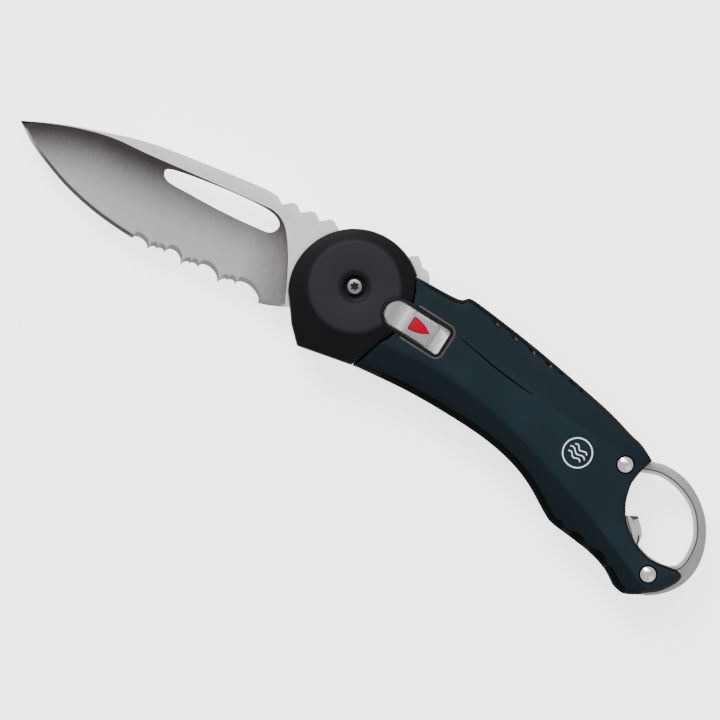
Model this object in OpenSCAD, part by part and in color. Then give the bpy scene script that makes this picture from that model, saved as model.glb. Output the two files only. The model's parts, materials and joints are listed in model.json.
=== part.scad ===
// One-hand folding rigging knife, lying open on its rear side, all sizes in millimetres.
// +X runs from the blade's tip to the ring, +Z is up, and the cutting edge faces -Y.
// Outlines are laid out from the pivot axis; place() then moves the whole knife so that
// the origin is the middle of its overall box, on the surface that it lies on.

/* [Stack, from the underside up] */
// Thickness of each moulded scale and of each cap
scale_t = 3.9; // [3.4:0.1:5]
// Thickness of each steel liner
liner_t = 1.2; // [1:0.1:1.6]
// Thickness of the blade
blade_t = 3.0; // [2.4:0.1:3.4]
// Gap between the blade and each liner
blade_gap = 0.2; // [0.15:0.05:0.3]

/* [Pivot] */
// Radius of the threaded pivot barrel that the blade turns on
barrel_r = 2.4; // [2.2:0.1:2.8]
// Radius of the screw's shank
screw_r = 1.25; // [1:0.05:1.4]
// Radius of the screw's round head
screw_head_r = 1.8; // [1.6:0.1:2]
// Radius of the sunk hole around the screw's head
counterbore_r = 2.5; // [2.3:0.1:2.8]
// Radial clearance of a part that turns or slides on another
running_gap = 0.05; // [0.02:0.01:0.09]

/* [Blade stop and lock] */
// How far the blade turns from open to closed, in degrees
blade_swing = 160; // [150:1:161]
// Radius of the circle that the stop pin stands on
stop_orbit = 13.0; // [12.8:0.1:13.2]
// Radius of the stop pin
stop_r = 1.2; // [1:0.1:1.3]
// Direction of the stop pin from the pivot, in degrees
stop_angle = 12; // [11:0.5:13]
// Radius of the notched lock hub on the blade's front face
hub_r = 10.5; // [10:0.1:10.8]
// Direction that the lock slide moves in, in degrees from +X
slide_angle = -8.5; // [-9:0.5:-8]
// How far the lock slide pulls back
slide_travel = 2.3; // [1.8:0.1:2.4]
// Gap between the nose of the lock bar and the rim of the hub at rest
nose_gap = 0.2; // [0.15:0.05:0.3]

/* [Slide button] */
// Distance from the pivot to the button's round front end
button_from = 8.4; // [8.2:0.1:8.8]
// Length of the button
button_l = 12.2; // [11.8:0.1:12.4]
// Width of the button
button_w = 5.5; // [5:0.1:5.8]
// Height of the button above the scale's face
button_proud = 0.7; // [0.4:0.1:1.2]
// Width of the black guide's wall around the slot
guide_w = 0.7; // [0.5:0.1:0.9]

/* [Fasteners at the butt] */
// Radius of a butt rivet's domed head
rivet_head_r = 1.7; // [1.5:0.1:1.9]
// Radius of a butt rivet's shank
rivet_r = 1.0; // [0.8:0.1:1.1]

/* [Hidden] */
$fn = 64;

// The middle of the knife's overall box, seen from the pivot axis
box_middle = [6.0, -12.35];

// Heights of the faces in the stack
rear_liner_z = scale_t;
well_z = rear_liner_z + liner_t;
blade_z = well_z + blade_gap;
blade_top_z = blade_z + blade_t;
front_liner_z = blade_top_z + blade_gap;
front_scale_z = front_liner_z + liner_t;
top_z = front_scale_z + scale_t;
well_h = blade_t + 2 * blade_gap;

// Small depths and gaps that several pieces share
through = 1;
fit_gap = 0.1;
liner_inset = 0.5;
slip_gap = 0.3;

// Cap: a disc about a centre just off the pivot, with a corner drawn out at its lower front
cap_centre = [0.6, -1.7];
cap_r = 14.5;
cap_seam_r = 13.6;
cap_reach = 20;
seam_top_y = 7.42;
seam_top_angle = 33;
seam_foot_angle = -42;
seam_foot_y = -16.0;
seam_lean = 0.54;
seam_steps = 18;
cap_dish_r = 9.7;
cap_slope_r = 22;
cap_slope_h = 2.4;
cap_crown = 0.3;
cap_slope_z = top_z + cap_crown - cap_slope_h;
cap_peg_r = 1.0;
cap_peg_orbit = 12.2;
cap_peg_angles = [115, 235];
cap_peg_z = front_liner_z + 0.2;

// Pivot: the barrel's flange is sunk in the rear cap, and the screw's head in the front one
barrel_flange_r = 3.2;
barrel_flange_h = 0.9;
barrel_flange_z = 0.2;
barrel_top_z = front_scale_z + 1.3;
barrel_slot_w = 0.8;
screw_seat_z = front_scale_z + 2.6;
screw_head_h = 1.2;
screw_lobe_orbit = 0.75;
screw_lobe_r = 0.28;
drive_depth = 0.8;

// Bevel around the outer edge of each scale, in layers: inset, and how far below the face it ends
bevel = [[0, 1.6], [0.2, 1.1], [0.4, 0.65], [0.65, 0.3], [0.9, 0]];

// Handle outline, clockwise from the cap: back, butt corner, hooked end, horn, belly
handle_back = [
    [15.1, 7.2], [20.0, 6.8], [22.6, 6.9], [24.2, 7.9], [27.1, 7.5], [33.1, 6.1], [41.7, 3.9],
    [52.9, 0.6], [62.0, -2.3], [68.6, -5.0], [71.4, -6.0], [75.0, -8.3]
];
handle_hook = [
    [73.6, -11.6], [72.9, -14.6], [73.4, -18.8], [75.2, -22.6], [78.6, -26.0], [83.2, -28.1],
    [87.2, -28.2]
];
handle_horn = [
    [89.6, -28.0], [91.1, -28.8], [90.6, -30.8], [88.0, -33.8], [84.6, -36.0], [81.0, -37.5], [78.6, -36.8]
];
handle_belly = [
    [75.6, -34.4], [71.4, -32.5], [66.2, -31.1], [61.0, -29.9], [58.6, -28.6], [52.6, -24.1],
    [47.0, -21.2], [39.6, -18.9], [30.1, -17.3], [19.5, -16.2], [8.0, -15.9]
];
handle_corner = [[-6.3, -17.0], [-9.4, -13.1], [-11.9, -8.6]];

// Blade outline
blade_spine = [
    [-82.0, 3.5], [-74.3, 6.2], [-66.0, 8.3], [-54.0, 10.6], [-40.0, 11.4], [-27.0, 11.7],
    [-23.6, 11.4]
];
blade_belly = [
    [-49.1, -10.1], [-58.7, -8.3], [-69.6, -4.4], [-77.0, -0.5], [-82.0, 3.5]
];
tooth_points = [[-18.0, -11.9], [-28.1, -11.6], [-37.1, -11.3], [-45.1, -11.0]];
cusp_from_tooth = [1.8, 3.7];
cusp_y = -10.2;
jimp_tops = [-19.6, -15.1, -10.6];
jimp_pitch = 4.5;
jimp_y = 11.3;
jimp_depth = 1.0;
jimp_r = 1.6;
tang_r = 11.7;
tang_back_r = 12.2;
tang_teeth = [
    [8.8, 11.3], [10.0, 11.9], [11.1, 11.0], [11.8, 9.9], [13.2, 9.8], [14.3, 8.6], [14.7, 7.0], [13.9, 4.8]
];
heel = [[-15.7, -11.4], [-10.4, -10.2]];
well_clear = 0.1;
grind_y = 7.2;
edge_y = -12.0;
edge_t = 0.5;
grind_l = 80;
plunge_x = -16.0;
belly_turn = -22.5;
belly_full_y = 14.5;
belly_edge_y = -2.6;
slot_knots = [
    [-48.3, 5.5], [-47.3, 7.2], [-36.6, 8.1], [-26.9, 8.0], [-22.6, 7.4], [-20.5, 5.6],
    [-21.8, 3.4], [-26.0, 3.1], [-34.0, 3.3], [-41.6, 3.9], [-46.6, 4.4]
];

// Lock hub, its pins and the washers
hub_gap = 0.15;
hub_pin_r = 0.6;
hub_pin_orbit = 6.6;
hub_pin_depth = 2;
hub_pins_n = 3;
notch_w = 4.4;
notch_depth = 2.0;
front_washer_r = 5;
rear_washer_r = 10;

// Lock slide: a bar with a flange, a post and a tail tab, all along the slide's direction
bar_w = 4.2;
bar_flange_w = 5.6;
bar_flange_back = 0.6;
bar_from = hub_r + nose_gap;
bar_to = 25.2;
bar_under = 0.1;
bar_flange_h = 0.9;
post_from = 12.5;
post_l = 3.0;
post_w = 1.6;
plate_t = 1.0;
tab_l = 1.0;
tab_w = 2.4;
tab_h = 2.3;
slot_w = button_w + 2 * slip_gap;
slot_from = button_from - slip_gap;
slot_to = button_from + button_l + slide_travel + slip_gap;
flange_z = front_scale_z + fit_gap / 2;
plate_z = flange_z + bar_flange_h + fit_gap;
button_z = plate_z + plate_t + fit_gap;
button_top_z = top_z + button_proud;
guide_top_z = top_z + 0.2;
scoop_r = 6;
scoop_from = 2.6;
scoop_depth = 1.3;
inlay_from = button_from + 6.3;
inlay_l = 4.6;
inlay_w = 2.9;
inlay_depth = 0.3;

// Return spring behind the slide's tail tab
spring_r = 0.9;
spring_wire_r = 0.18;
spring_turns = 8;
spring_l = 8.6;
spring_sides = 6;
spring_steps = 12;
spring_z = front_scale_z + 1.25;
pocket_w = 2.6;
pocket_h = 2.5;

// Back spacer and ring, one plate: outer side, and the opening's inner side with the opener lug
ring_outer = [
    [22.3, 5.9], [24.4, 6.9], [27.2, 6.9], [33.0, 5.5], [41.6, 3.3], [52.7, 0.0], [61.8, -2.9],
    [68.3, -5.5], [71.1, -6.5], [74.4, -8.4], [78.6, -8.0], [83.4, -8.9], [87.6, -11.4],
    [91.0, -15.0], [93.2, -19.6], [94.0, -24.6], [92.9, -29.6], [90.0, -33.4], [86.4, -35.8],
    [83.6, -36.4]
];
ring_inner_back = [
    [81.4, -34.6], [80.5, -31.6], [78.0, -29.4], [75.4, -27.4], [72.2, -23.4], [70.3, -18.6],
    [68.6, -14.6], [64.4, -11.0], [57.6, -7.6], [50.0, -4.0], [42.0, -0.6], [34.0, 2.3],
    [28.0, 3.6], [24.0, 4.0], [22.0, 4.6]
];
ring_opening = [
    [73.9, -11.7], [78.2, -10.8], [83.0, -11.8], [87.3, -14.6], [90.0, -19.0], [90.6, -23.0],
    [89.8, -26.8], [87.2, -28.1], [83.3, -27.8], [80.2, -26.6]
];
opener_lug = [[79.9, -26.4], [80.0, -24.3], [79.0, -22.6], [77.4, -20.7], [74.8, -21.7]];
ring_opening_end = [[73.6, -18.7], [73.1, -15.0]];
upper_rivet = [69.9, -11.5];
lower_rivet = [84.2, -31.4];
rivet_boss_r = 3.2;
rivet_seat = 0.7;
rivet_dome_r = 3.0;
rivet_rear_gap = 0.1;
spacer_pin_at = [27.4, 5.1];
spacer_pin_r = 1.0;

// ---- Curves ----

// One point on the smooth curve from b to c, with neighbours a and d
function between(a, b, c, d, t) =
    0.5 * (2 * b + (c - a) * t + (2 * a - 5 * b + 4 * c - d) * t * t + (3 * b - a - 3 * c + d) * t * t * t);

// A smooth open curve through every point of a list
function smooth(p, steps) = [
    for (i = [0 : len(p) - 2], s = [0 : steps - 1])
        between(p[max(i - 1, 0)], p[i], p[i + 1], p[min(i + 2, len(p) - 1)], s / steps),
    p[len(p) - 1]
];

// A smooth closed curve through every point of a list
function smooth_loop(p, steps) = [
    for (i = [0 : len(p) - 1], s = [0 : steps - 1])
        between(p[(i + len(p) - 1) % len(p)], p[i], p[(i + 1) % len(p)], p[(i + 2) % len(p)], s / steps)
];

// Points on an arc, its two ends among them
function arc(centre, r, from, to, n) =
    [for (i = [0 : n]) centre + r * [cos(from + (to - from) * i / n), sin(from + (to - from) * i / n)]];

// Points on the arc from a to b that bulges by rise to the right of that line, without b
function scallop(a, b, rise, n) =
    let (
        chord = norm(b - a),
        r = rise / 2 + chord * chord / (8 * rise),
        along = (b - a) / chord,
        right = [along[1], -along[0]],
        centre = (a + b) / 2 + right * (rise - r),
        half = asin(chord / 2 / r)
    )
    [
        for (i = [0 : n - 1])
            let (turn = half - 2 * half * i / n)
            centre + r * (right * cos(turn) - along * sin(turn))
    ];

// A clockwise outline drawn in by a distance, each corner along the bisector of its two sides
function inset(p, d) = [
    for (i = [0 : len(p) - 1])
        let (
            before = p[i] - p[(i + len(p) - 1) % len(p)],
            after = p[(i + 1) % len(p)] - p[i],
            n1 = [before[1], -before[0]] / norm(before),
            n2 = [after[1], -after[0]] / norm(after)
        )
        p[i] + d * (n1 + n2) / max(1 + n1 * n2, 0.5)
];

cap_edge = arc(cap_centre, cap_r, 201, 39, 24);
handle_edge = concat(
    smooth(handle_back, 3),
    smooth(handle_hook, 3),
    smooth(handle_horn, 3),
    smooth(handle_belly, 3)
);
handle_outline = concat(cap_edge, handle_edge, handle_corner);

// The point at a height y on the straight lower end of the seam between cap and scale
function seam_foot(seam_r, y) =
    let (from = polar(seam_r, seam_foot_angle))
    [from[0] + seam_lean * (y - from[1]), y];

// A scale's outline: the handle's edge drawn in by a distance, closed along the cap's seam
function scale_outline(d) =
    let (drawn_in = inset(handle_outline, d))
    concat(
        [for (i = [0 : len(handle_edge) - 1]) drawn_in[len(cap_edge) + i]],
        [seam_foot(cap_seam_r, seam_foot_y + d)],
        arc([0, 0], cap_seam_r, seam_foot_angle, asin((seam_top_y - d) / cap_seam_r), seam_steps)
    );

// ---- Placing ----

module place() {
    translate([-box_middle[0], -box_middle[1], 0]) children();
}

// Turns a piece drawn along +X into the lock slide's direction
module along_slide() {
    rotate([0, 0, slide_angle]) children();
}

// The rear side's copy of a piece drawn for the front
module rear_side() {
    translate([0, 0, top_z]) mirror([0, 0, 1]) children();
}

// A vertical hole or pin that starts at a height
module post(at, r, z, h) {
    translate([at[0], at[1], z]) cylinder(r = r, h = h);
}

function polar(r, angle) = r * [cos(angle), sin(angle)];

// A slot along the slide's direction, round at its front end and square at its tail
module slide_slot(from, to, w, z, h) {
    translate([0, 0, z]) linear_extrude(h) {
        translate([from + w / 2, 0]) circle(d = w);
        translate([from + w / 2, -w / 2]) square([to - from - w / 2, w]);
    }
}

// ---- Handle halves ----

// A scale as a solid whose upper edge is drawn in by the bevel's layers
module bevelled_scale() {
    for (k = [0 : len(bevel) - 1]) {
        from = k == 0 ? scale_t : bevel[k - 1][1];
        translate([0, 0, top_z - from]) linear_extrude(from - bevel[k][1])
            polygon(scale_outline(bevel[k][0]));
    }
}

// The part of the plan that the cap covers, out to a seam of a given radius about the pivot
module cap_zone(seam_r, z, h) {
    translate([0, 0, z]) linear_extrude(h) polygon(concat(
        arc([0, 0], seam_r, seam_top_angle, seam_foot_angle, seam_steps),
        [
            seam_foot(seam_r, -cap_reach), [-cap_reach, -cap_reach],
            [-cap_reach, cap_reach], [seam_r * cos(seam_top_angle), cap_reach]
        ]
    ));
}

module handle_plan(z, h) {
    translate([0, 0, z]) linear_extrude(h) polygon(handle_outline);
}

// Space for the slide's guide, flange and spring, cut through a cap or a scale
module slide_space() {
    flange_l = bar_to - bar_from + slide_travel + 2 * slip_gap;
    flange_space_w = bar_flange_w + 2 * fit_gap;
    pocket_from = slot_to - through;
    guide_space_w = slot_w + 2 * guide_w;
    guide_z = plate_z - fit_gap / 2;
    along_slide() {
        slide_slot(slot_from - guide_w, slot_to + guide_w, guide_space_w, guide_z, scale_t + through);
        translate([bar_from - slip_gap, -flange_space_w / 2, front_scale_z - through])
            cube([flange_l, flange_space_w, through + bar_flange_h + fit_gap]);
        translate([pocket_from, -pocket_w / 2, front_scale_z - through])
            cube([bar_to + spring_l + fit_gap - pocket_from, pocket_w, through + pocket_h]);
    }
}

// A scale for the front, before the slide's space is cut
module scale_blank() {
    difference() {
        bevelled_scale();
        for (at = [upper_rivet, lower_rivet]) {
            post(at, rivet_r, front_scale_z - through, scale_t + 2 * through);
            post(at, rivet_head_r + fit_gap, top_z - rivet_seat, through + rivet_seat);
        }
    }
}

// A cap for the front, before the slide's space is cut
module cap_blank() {
    intersection() {
        handle_plan(front_scale_z, scale_t + through);
        cap_zone(cap_seam_r - fit_gap, front_scale_z, scale_t + through);
        union() {
            post([0, 0], cap_slope_r, front_scale_z, cap_slope_z - front_scale_z);
            translate([0, 0, cap_slope_z]) cylinder(r1 = cap_slope_r, r2 = cap_dish_r, h = cap_slope_h);
        }
    }
    for (a = cap_peg_angles) post(polar(cap_peg_orbit, a), cap_peg_r, cap_peg_z, liner_t);
}

module front_scale() {
    color("#1e3239") difference() {
        scale_blank();
        slide_space();
    }
}

module rear_scale() {
    color("#1e3239") rear_side() scale_blank();
}

module front_cap() {
    color("#343237") difference() {
        cap_blank();
        slide_space();
        post([0, 0], barrel_r, front_scale_z - through, through + barrel_top_z + fit_gap - front_scale_z);
        post([0, 0], screw_r + fit_gap, front_scale_z, scale_t + 2 * through);
        post([0, 0], counterbore_r, screw_seat_z, scale_t);
    }
}

module rear_cap() {
    color("#343237") difference() {
        rear_side() cap_blank();
        post([0, 0], barrel_r, -through, scale_t + 2 * through);
        post([0, 0], barrel_flange_r + fit_gap, -through, through + barrel_flange_z + barrel_flange_h);
        translate([-cap_slope_r, -cap_slope_r, -through]) cube([2 * cap_slope_r, 2 * cap_slope_r, through]);
    }
}

// ---- Liners ----

module liner_blank(z) {
    difference() {
        translate([0, 0, z]) linear_extrude(liner_t) polygon(inset(handle_outline, liner_inset));
        post(polar(stop_orbit, stop_angle), stop_r, z - through, liner_t + 2 * through);
        post(spacer_pin_at, spacer_pin_r, z - through, liner_t + 2 * through);
        for (a = cap_peg_angles)
            post(polar(cap_peg_orbit, a), cap_peg_r, z - through, liner_t + 2 * through);
        for (at = [upper_rivet, lower_rivet])
            post(at, rivet_r, z - through, liner_t + 2 * through);
    }
}

module front_liner() {
    groove_l = bar_to - bar_from + slide_travel + slip_gap + through;
    color("#a8a8ac") difference() {
        liner_blank(front_liner_z);
        post([0, 0], hub_r + fit_gap, front_liner_z - through, liner_t + 2 * through);
        along_slide() translate([bar_from - through, -bar_w / 2 - running_gap, front_liner_z - through])
            cube([groove_l, bar_w + 2 * running_gap, liner_t + 2 * through]);
    }
}

module rear_liner() {
    color("#a8a8ac") difference() {
        liner_blank(rear_liner_z);
        post([0, 0], barrel_r, rear_liner_z - through, liner_t + 2 * through);
    }
}

// ---- Blade, hub, pins and washers ----

// One period of the serrated edge, right to left: a long hollow, then two short ones
function serration(right, left) = concat(
    scallop(right, [left[0] + cusp_from_tooth[1], cusp_y], 1.5, 8),
    scallop([left[0] + cusp_from_tooth[1], cusp_y], [left[0] + cusp_from_tooth[0], cusp_y], 0.45, 4),
    scallop([left[0] + cusp_from_tooth[0], cusp_y], left, 0.35, 3)
);

// One tooth of the thumb grip, rounded on top
function jimp(x) = concat(
    [[x - jimp_pitch / 2, jimp_y - jimp_depth]],
    arc([x + 0.2, jimp_y - jimp_r + 0.1], jimp_r, 140, 40, 4)
);

blade_outline = concat(
    smooth(blade_spine, 4),
    [for (x = jimp_tops) each jimp(x)],
    arc([0, 0], tang_back_r, 128, 54, 8),
    tang_teeth,
    arc(polar(stop_orbit, stop_angle), stop_r + running_gap, 60, 192, 6),
    arc([0, 0], tang_r, 6, -142, 20),
    arc(polar(stop_orbit, stop_angle - blade_swing), stop_r + running_gap, 32, 205, 7),
    arc([0, 0], stop_orbit + stop_r + well_clear, -146, -138, 2),
    [heel[1], heel[0]],
    serration(tooth_points[0], tooth_points[1]),
    serration(tooth_points[1], tooth_points[2]),
    serration(tooth_points[2], tooth_points[3]),
    scallop(tooth_points[3], blade_belly[0], 1.3, 6),
    smooth(blade_belly, 4)
);

// Wedges, one on each face, that thin the blade from full_y down to its edge at thin_y
module grind(full_y, thin_y) {
    half = blade_t / 2;
    for (side = [-1, 1]) rotate([0, -90, 0]) linear_extrude(grind_l) polygon([
        [side * (half + 1), full_y], [side * half, full_y],
        [side * edge_t / 2, thin_y], [side * edge_t / 2, thin_y - 2], [side * (half + 1), thin_y - 2]
    ]);
}

module blade() {
    hub_pin_z = blade_top_z - hub_pin_depth;
    color("#c9cacc") difference() {
        translate([0, 0, blade_z]) linear_extrude(blade_t) polygon(blade_outline);
        translate([plunge_x, 0, blade_z + blade_t / 2]) grind(grind_y, edge_y);
        translate([blade_belly[0][0], blade_belly[0][1], blade_z + blade_t / 2])
            rotate([0, 0, belly_turn]) grind(belly_full_y, belly_edge_y);
        translate([0, 0, blade_z - through]) linear_extrude(blade_t + 2 * through)
            polygon(smooth_loop(slot_knots, 4));
        post([0, 0], barrel_r + running_gap, blade_z - through, blade_t + 2 * through);
        for (i = [1 : hub_pins_n])
            post(polar(hub_pin_orbit, i * 360 / hub_pins_n), hub_pin_r, hub_pin_z, hub_pin_depth + through);
    }
}

module lock_hub() {
    hub_h = front_scale_z - blade_top_z - hub_gap;
    color("#8d8d92") difference() {
        post([0, 0], hub_r, blade_top_z, hub_h);
        post([0, 0], barrel_r + running_gap, blade_top_z - through, hub_h + 2 * through);
        for (a = [slide_angle, slide_angle - blade_swing]) rotate([0, 0, a])
            translate([hub_r - notch_depth, -notch_w / 2, blade_top_z - through])
                cube([notch_depth + through, notch_w, hub_h + 2 * through]);
        for (i = [1 : hub_pins_n])
            post(polar(hub_pin_orbit, i * 360 / hub_pins_n), hub_pin_r, blade_top_z - through,
                hub_h + 2 * through);
    }
}

module hub_pins() {
    color("#d2d2d4") for (i = [1 : hub_pins_n])
        post(polar(hub_pin_orbit, i * 360 / hub_pins_n), hub_pin_r, blade_top_z - hub_pin_depth,
            hub_pin_depth + front_scale_z - blade_top_z - hub_gap);
}

module washer(r, z, h) {
    color("#b98a3c") difference() {
        post([0, 0], r, z, h);
        post([0, 0], barrel_r, z - through, h + 2 * through);
    }
}

module front_washer() {
    washer(front_washer_r, front_scale_z - hub_gap, hub_gap);
}

module rear_washer() {
    washer(rear_washer_r, well_z, blade_gap);
}

// ---- Back spacer with ring and opener lug ----

module ring_frame() {
    color("#9a979b") difference() {
        union() {
            translate([0, 0, well_z]) linear_extrude(well_h)
                polygon(concat(smooth(ring_outer, 3), smooth(ring_inner_back, 3)));
            for (at = [upper_rivet, lower_rivet]) post(at, rivet_boss_r, well_z, well_h);
        }
        translate([0, 0, well_z - through]) linear_extrude(well_h + 2 * through)
            polygon(concat(smooth(ring_opening, 4), opener_lug, ring_opening_end));
        for (at = [upper_rivet, lower_rivet]) post(at, rivet_r, well_z - through, well_h + 2 * through);
        post(spacer_pin_at, spacer_pin_r, well_z - through, well_h + 2 * through);
    }
}

// ---- Pivot, pins and rivets ----

module pivot_barrel() {
    color("#b4b4b8") difference() {
        union() {
            post([0, 0], barrel_flange_r, barrel_flange_z, barrel_flange_h);
            post([0, 0], barrel_r, barrel_flange_z, barrel_top_z - barrel_flange_z);
        }
        post([0, 0], screw_r, barrel_flange_z + 2 * barrel_flange_h, barrel_top_z);
        translate([-barrel_flange_r - through, -barrel_slot_w / 2, barrel_flange_z - through])
            cube([2 * (barrel_flange_r + through), barrel_slot_w, through + drive_depth]);
    }
}

module pivot_screw() {
    drive_z = screw_seat_z + screw_head_h - drive_depth;
    color("#cfcfd2") difference() {
        union() {
            post([0, 0], screw_head_r, screw_seat_z, screw_head_h);
            post([0, 0], screw_r, well_z, screw_seat_z - well_z + fit_gap);
        }
        post([0, 0], screw_lobe_orbit, drive_z, through);
        for (a = [0 : 60 : 300]) post(polar(screw_lobe_orbit, a), screw_lobe_r, drive_z, through);
    }
}

module stop_pin() {
    color("#d2d2d4")
        post(polar(stop_orbit, stop_angle), stop_r, rear_liner_z, front_scale_z - rear_liner_z);
}

module spacer_pin() {
    color("#d2d2d4") post(spacer_pin_at, spacer_pin_r, rear_liner_z, front_scale_z - rear_liner_z);
}

// A rivet through both scales, with a domed front head and a flush rear head
module butt_rivets() {
    dome_h = rivet_dome_r - sqrt(rivet_dome_r * rivet_dome_r - rivet_head_r * rivet_head_r);
    color("#d8d8db") for (at = [upper_rivet, lower_rivet]) {
        post(at, rivet_r, rivet_seat, top_z - 2 * rivet_seat);
        post(at, rivet_head_r, rivet_rear_gap, rivet_seat - rivet_rear_gap);
        post(at, rivet_head_r, top_z - rivet_seat, rivet_seat);
        translate([at[0], at[1], top_z]) intersection() {
            translate([0, 0, dome_h - rivet_dome_r]) sphere(r = rivet_dome_r);
            cylinder(r = rivet_head_r, h = rivet_dome_r);
        }
    }
}

// ---- Lock slide ----

module slot_guide() {
    wall = guide_w - fit_gap;
    color("#141416") along_slide() difference() {
        slide_slot(slot_from - wall, slot_to + wall, slot_w + 2 * wall, plate_z, guide_top_z - plate_z);
        slide_slot(slot_from, slot_to, slot_w, plate_z - through, scale_t + 2 * through);
    }
}

module slide_plate() {
    color("#f4f4f2") along_slide() difference() {
        slide_slot(slot_from + fit_gap / 2, slot_to - fit_gap / 2, slot_w - fit_gap, plate_z, plate_t);
        translate([post_from - slip_gap, -post_w / 2 - running_gap, plate_z - through])
            cube([post_l + slide_travel + 2 * slip_gap, post_w + 2 * running_gap, plate_t + 2 * through]);
    }
}

module lock_bar() {
    bar_z = blade_top_z + blade_gap + bar_under;
    flange_from = bar_from + bar_flange_back;
    flange_top_z = flange_z + bar_flange_h;
    color("#8d8d92") along_slide() {
        translate([bar_from, -bar_w / 2, bar_z])
            cube([bar_to - bar_from, bar_w, flange_z - bar_z]);
        translate([flange_from, -bar_flange_w / 2, flange_z])
            cube([bar_to - flange_from, bar_flange_w, bar_flange_h]);
        translate([post_from, -post_w / 2, flange_top_z])
            cube([post_l, post_w, button_z - flange_top_z]);
        translate([bar_to - tab_l, -tab_w / 2, flange_top_z])
            cube([tab_l, tab_w, tab_h - bar_flange_h]);
    }
}

// The button's plan: a half-round front and a tail with rounded corners
module button_plan() {
    corner_r = 0.9;
    front = button_from + button_w / 2;
    tail = button_from + button_l;
    translate([front, 0]) circle(d = button_w);
    translate([front, -button_w / 2]) square([tail - corner_r - front, button_w]);
    translate([front, corner_r - button_w / 2]) square([tail - front, button_w - 2 * corner_r]);
    for (y = [-1, 1]) translate([tail - corner_r, y * (button_w / 2 - corner_r)]) circle(r = corner_r);
}

// The red mark let into the button: a triangle with round corners that points to the tail
module inlay_plan() {
    corner_r = 0.45;
    base_y = inlay_w / 2 - corner_r;
    lean = atan2(inlay_l - 2 * corner_r, base_y);
    polygon(concat(
        arc([corner_r, base_y], corner_r, 180, lean, 5),
        arc([inlay_l - corner_r, 0], corner_r, lean, -lean, 7),
        arc([corner_r, -base_y], corner_r, -lean, -180, 5)
    ));
}

module lock_button() {
    color("#bdb8bb") along_slide() difference() {
        translate([0, 0, button_z]) linear_extrude(button_top_z - button_z) button_plan();
        translate([button_from + scoop_from, 0, button_top_z + scoop_r - scoop_depth]) rotate([90, 0, 0])
            cylinder(r = scoop_r, h = 2 * button_w, center = true);
        translate([inlay_from, 0, button_top_z - inlay_depth]) linear_extrude(through) inlay_plan();
    }
}

module button_inlay() {
    color("#d4101a") along_slide() translate([inlay_from, 0, button_top_z - inlay_depth])
        linear_extrude(inlay_depth) inlay_plan();
}

// A coil spring swept as one closed tube, lying along the slide behind the tail tab
module lock_spring() {
    n = spring_turns * spring_steps;
    pitch = (spring_l - 2 * spring_wire_r) / spring_turns;
    start = bar_to + spring_wire_r;
    rings = [
        for (i = [0 : n], k = [0 : spring_sides - 1])
            let (
                turn = 360 * i / spring_steps,
                side = 360 * k / spring_sides,
                r = spring_r - spring_wire_r + spring_wire_r * cos(side)
            )
            [start + pitch * i / spring_steps + spring_wire_r * sin(side), r * cos(turn), r * sin(turn)]
    ];
    walls = [
        for (i = [0 : n - 1], k = [0 : spring_sides - 1], half = [0, 1])
            let (
                here = i * spring_sides,
                next = here + spring_sides,
                j = (k + 1) % spring_sides
            )
            half == 0 ? [here + k, here + j, next + j] : [here + k, next + j, next + k]
    ];
    ends = [
        [for (k = [spring_sides - 1 : -1 : 0]) k],
        [for (k = [0 : spring_sides - 1]) n * spring_sides + k]
    ];
    color("#c4c4c8") along_slide() translate([0, 0, spring_z]) polyhedron(rings, concat(walls, ends));
}

place() blade();
place() lock_hub();
place() hub_pins();
place() front_washer();
place() rear_washer();
place() front_liner();
place() rear_liner();
place() ring_frame();
place() front_scale();
place() rear_scale();
place() front_cap();
place() rear_cap();
place() pivot_barrel();
place() pivot_screw();
place() stop_pin();
place() spacer_pin();
place() butt_rivets();
place() slot_guide();
place() slide_plate();
place() lock_bar();
place() lock_button();
place() button_inlay();
place() lock_spring();
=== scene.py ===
import json
import math

import bmesh
import bpy
from mathutils import Matrix, Vector, kdtree
from mathutils.geometry import intersect_line_line_2d, intersect_point_line


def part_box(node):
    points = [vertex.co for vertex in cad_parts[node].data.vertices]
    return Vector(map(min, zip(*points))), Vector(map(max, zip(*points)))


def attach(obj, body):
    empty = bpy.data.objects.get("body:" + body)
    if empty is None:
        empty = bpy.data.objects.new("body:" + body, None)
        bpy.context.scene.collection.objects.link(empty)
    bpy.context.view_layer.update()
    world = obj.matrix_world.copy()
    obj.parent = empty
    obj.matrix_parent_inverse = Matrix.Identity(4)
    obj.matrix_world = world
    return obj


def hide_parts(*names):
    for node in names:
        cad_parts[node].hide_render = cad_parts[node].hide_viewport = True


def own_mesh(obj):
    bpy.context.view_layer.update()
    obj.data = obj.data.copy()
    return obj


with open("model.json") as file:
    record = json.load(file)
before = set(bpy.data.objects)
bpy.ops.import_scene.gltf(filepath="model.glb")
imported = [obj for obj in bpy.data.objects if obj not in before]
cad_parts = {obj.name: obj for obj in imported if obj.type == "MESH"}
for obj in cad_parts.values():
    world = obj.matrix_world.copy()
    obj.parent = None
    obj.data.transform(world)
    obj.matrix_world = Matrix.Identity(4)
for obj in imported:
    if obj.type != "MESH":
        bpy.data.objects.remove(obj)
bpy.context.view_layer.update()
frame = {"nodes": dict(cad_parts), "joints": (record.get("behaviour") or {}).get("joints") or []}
nodes = frame["nodes"]
joints = {joint["name"]: joint for joint in frame["joints"]}
pivot = Vector(joints["blade_pivot"]["pos_m"])
slide_way = Vector(joints["lock_slide_travel"]["axis"])
MM = 0.001

# ---- Blade ----
# One piece of stainless steel, blanked, then hollow ground on both faces and scalloped along
# half of its edge. Satin finished: brush lines run across the hollow and along the flats.
# It turns on the pivot's barrel, and its tang has two shoulders that meet the stop pin.


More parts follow.
